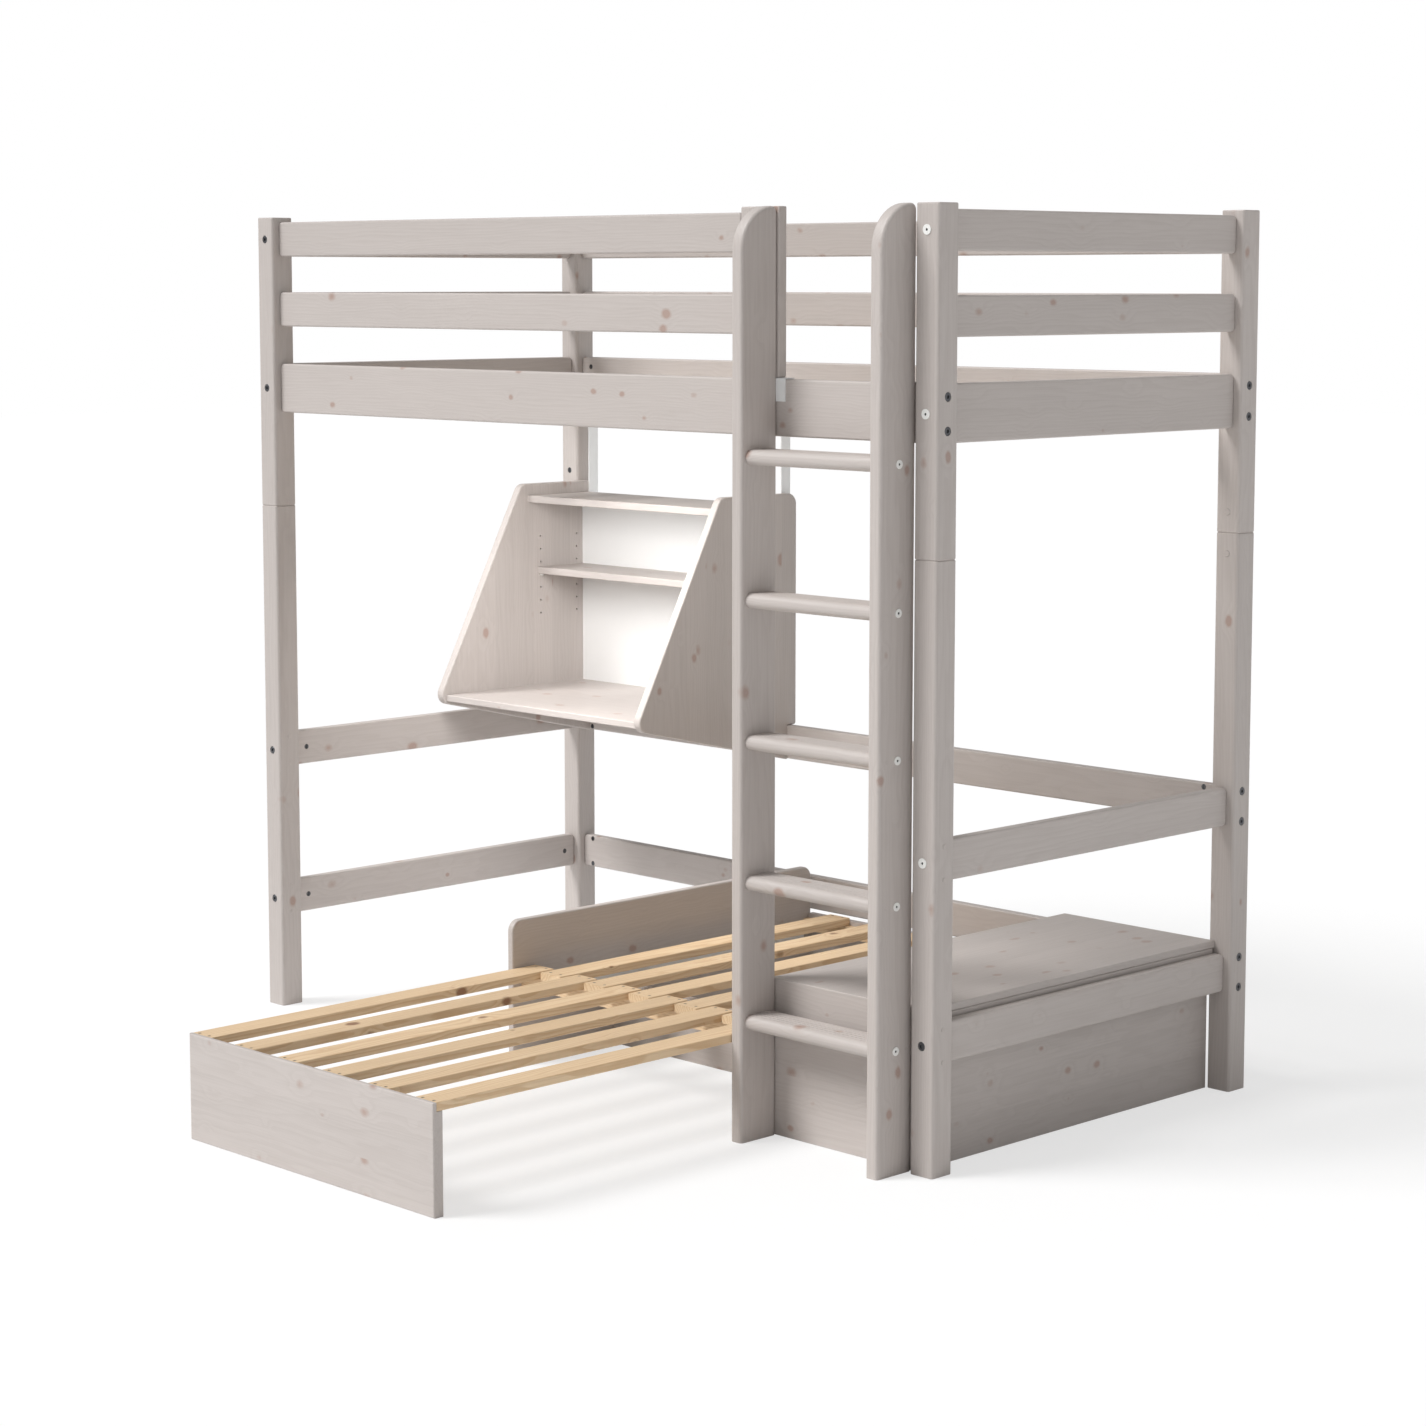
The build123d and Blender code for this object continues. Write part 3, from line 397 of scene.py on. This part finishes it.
# Grain direction of each wooden piece, and its boards or staves if it has several
frameWood = {
    "post_front_left_lower": ("z", None),
    "post_front_left_upper": ("z", None),
    "post_front_right_lower": ("z", None),
    "post_front_right_upper": ("z", None),
    "post_back_left_lower": ("z", None),
    "post_back_left_upper": ("z", None),
    "post_back_right_lower": ("z", None),
    "post_back_right_upper": ("z", None),
    "bed_rail_front": ("x", None),
    "bed_rail_back": ("x", None),
    "bed_rail_left": ("y", None),
    "bed_rail_right": ("y", None),
    "guard_rails_front": ("x", guardBoards),
    "guard_rails_back": ("x", guardBoards),
    "guard_rails_left": ("y", guardBoards),
    "guard_rails_right": ("y", guardBoards),
    "guard_end_batten": ("z", None),
    "lower_rails_back": ("x", lowerBoards),
    "lower_rails_left": ("y", lowerBoards),
    "lower_rails_right": ("y", lowerBoards),
    "hole_plugs": ("x", narrowStaves),
}
ladderWood = {
    "ladder_stile_left": ("z", None),
    "ladder_stile_right": ("z", None),
    "ladder_rungs": ("x", ("z", 0.103, 0.2794)),
    "ladder_dowels": ("x", narrowStaves),
}
deskWood = {
    "desk_side_left": ("z", ("y", 0.38, 0.062)),
    "desk_side_right": ("z", ("y", 0.36, 0.062)),
    "desk_top": ("x", ("y", 0.345, 0.058)),
    "desk_shelf_top": ("x", ("y", 0.66, 0.052)),
    "desk_shelf_middle": ("x", ("y", 0.69, 0.052)),
}
seatWood = {
    "sofa_side_panel": ("y", narrowStaves),
    "sofa_cross_panel": ("x", middleStaves),
    "sofa_back_panel": ("x", middleStaves),
    "box_front_panel": ("x", narrowStaves),
    "box_left_panel": ("y", broadStaves),
    "box_right_panel": ("y", broadStaves),
    "box_back_panel": ("x", broadStaves),
    "box_deck": ("y", ("x", 0.5, 0.066)),
    "box_edge_strip": ("y", None),
    "pullout_front_board": ("x", ("z", 0.0, 0.072)),
}
paleWood = {
    "bed_ledgers": ("x", ("y", -0.2, 0.3)),
    "bed_slats": ("y", ("x", -1.013, 0.14469)),
    "sofa_battens": ("x", ("y", -0.2, 0.4)),
    "sofa_fixed_slats": ("y", ("x", -0.145, 0.1395)),
    "pullout_slats": ("y", ("x", -0.215, 0.1395)),
    "pullout_batten": ("x", None),
    "wood_dowels": ("y", ("z", 0.0, 0.045)),
}

seed = 0
for group in (frameWood, ladderWood, deskWood, seatWood):
    for name, (grain, split) in group.items():
        seed += 1
        dress(name, makeWood("glazed pine " + name, glazedPine, grain, seed, split))
for name, (grain, split) in paleWood.items():
    seed += 1
    # The bed's ledgers and slats get the paler copy, whose colour holds painted light
    look = paintedLightPine if name.startswith("bed_") else naturalPine
    dress(name, makeWood("natural pine " + name, look, grain, seed, split))
print("wood done:", seed, "pieces")

# Each other finish, and the pieces that have it
otherFinishes = (
    (makePowderCoat("white powder coat", powderCoat),
     ("desk_straps", "ladder_hooks", "sofa_tracks")),
    (makeSteel("bolt steel", boltSteel),
     ("frame_bolts", "cross_nuts", "post_joint_rods", "ladder_screws")),
    (makeSteel("screw steel", screwSteel),
     ("wood_screws", "pullout_screws")),
    (makeSmooth("white plastic", whitePlastic),
     ("desk_shelf_pins", "ring_caps", "pullout_glides")),
    (makeSmooth("white board", whitePanel),
     ("desk_back_panel",)),
)
for material, names in otherFinishes:
    for name in names:
        dress(name, material)
print("metal, plastic and white board done")

# Studio: a pale floor that keeps soft shadows, even fill, one broad key light, and a
# soft lamp under the bed that lights the desk; in metres, watts and radians
studio = {
    "white": (1.0, 1.0, 1.0),
    "floor": (0.93, 0.93, 0.93),
    "floorSize": 60.0,
    "floorRoughness": 0.9,
    "floorLift": 0.62,
    "fill": 0.44,
    "keyStrength": 2.74,
    "keyAngle": 0.42,
    "keyFrom": (-0.42, -0.62, 0.86),
    "deskPlace": (-0.38, 0.08, 1.31),
    "deskToward": (-0.62, 0.72, 0.70),
    "deskPower": 5.0,
    "deskSize": 0.5,
    "deskSpread": 2.1,
}


def addObject(name, data, place, axis, direction):
    # A light or camera at a place, with one of its own axes along a direction
    made = bpy.data.objects.new(name, data)
    made.location = place
    made.rotation_euler = Vector(direction).to_track_quat(axis, "Y").to_euler()
    bpy.context.collection.objects.link(made)
    return made


bpy.ops.mesh.primitive_plane_add(size=studio["floorSize"], location=(0.0, 0.0, 0.0))
floor = bpy.context.object
floor.name = "studio_floor"
material, tree, shader = startMaterial("studio floor")
setInputs(tree, shader, {"Base Color": rgba(studio["floor"]), "Specular IOR Level": 0.0,
                         "Roughness": studio["floorRoughness"]})
glow = addNode(tree, "Emission", {"Color": rgba(studio["white"]), "Strength": 1.0})
path = addNode(tree, "LightPath").outputs
lift = calc(tree, "MULTIPLY", path["Is Camera Ray"], studio["floorLift"])
mixed = addNode(tree, "MixShader", {0: lift, 1: shader.outputs[0], 2: glow.outputs[0]})
output = [node for node in tree.nodes if node.bl_idname == "ShaderNodeOutputMaterial"][0]
setInputs(tree, output, {"Surface": mixed.outputs[0]})
floor.data.materials.append(material)

# The backdrop is white to the eye, and lights the part with the fill alone
world = bpy.data.worlds.new("studio")
bpy.context.scene.world = world
world.use_nodes = True
tree = world.node_tree
tree.nodes.clear()
path = addNode(tree, "LightPath").outputs
seen = calc(tree, "MAXIMUM", path["Is Camera Ray"], path["Is Transmission Ray"])
strength = spread(tree, seen, 0.0, 1.0, studio["fill"], 1.0, smooth=False)
sky = addNode(tree, "Background", {"Color": rgba(studio["white"]), "Strength": strength})
addNode(tree, "OutputWorld", {"Surface": sky.outputs[0]})

keyLight = bpy.data.lights.new("key", "SUN")
keyLight.energy = studio["keyStrength"]
keyLight.angle = studio["keyAngle"]
addObject("key", keyLight, (0.0, 0.0, 0.0), "Z", studio["keyFrom"])
deskLight = bpy.data.lights.new("desk fill", "AREA")
deskLight.energy = studio["deskPower"]
deskLight.size = studio["deskSize"]
deskLight.spread = studio["deskSpread"]
backward = Vector(studio["deskPlace"]) - Vector(studio["deskToward"])
deskLamp = addObject("desk fill", deskLight, studio["deskPlace"], "Z", backward)
deskLamp.visible_camera = False
print("studio done")

# Camera: the photograph's viewpoint in metres, sensor and lens in millimetres
view = {
    "place": (4.9716, -4.5014, 1.7010),
    "toward": (-0.71029, 0.69549, -0.10851),
    "sensor": 36.0,
    "lens": 80.23,
    "shift": -0.06,
}
camera = bpy.data.cameras.new("camera")
camera.sensor_width = view["sensor"]
camera.lens = view["lens"]
camera.shift_y = view["shift"]
camera.dof.use_dof = False
cameraObject = addObject("camera", camera, view["place"], "-Z", view["toward"])
bpy.context.scene.camera = cameraObject
bpy.context.scene.view_settings.view_transform = "Standard"

bpy.context.view_layer.update()
print("camera and sizes done")
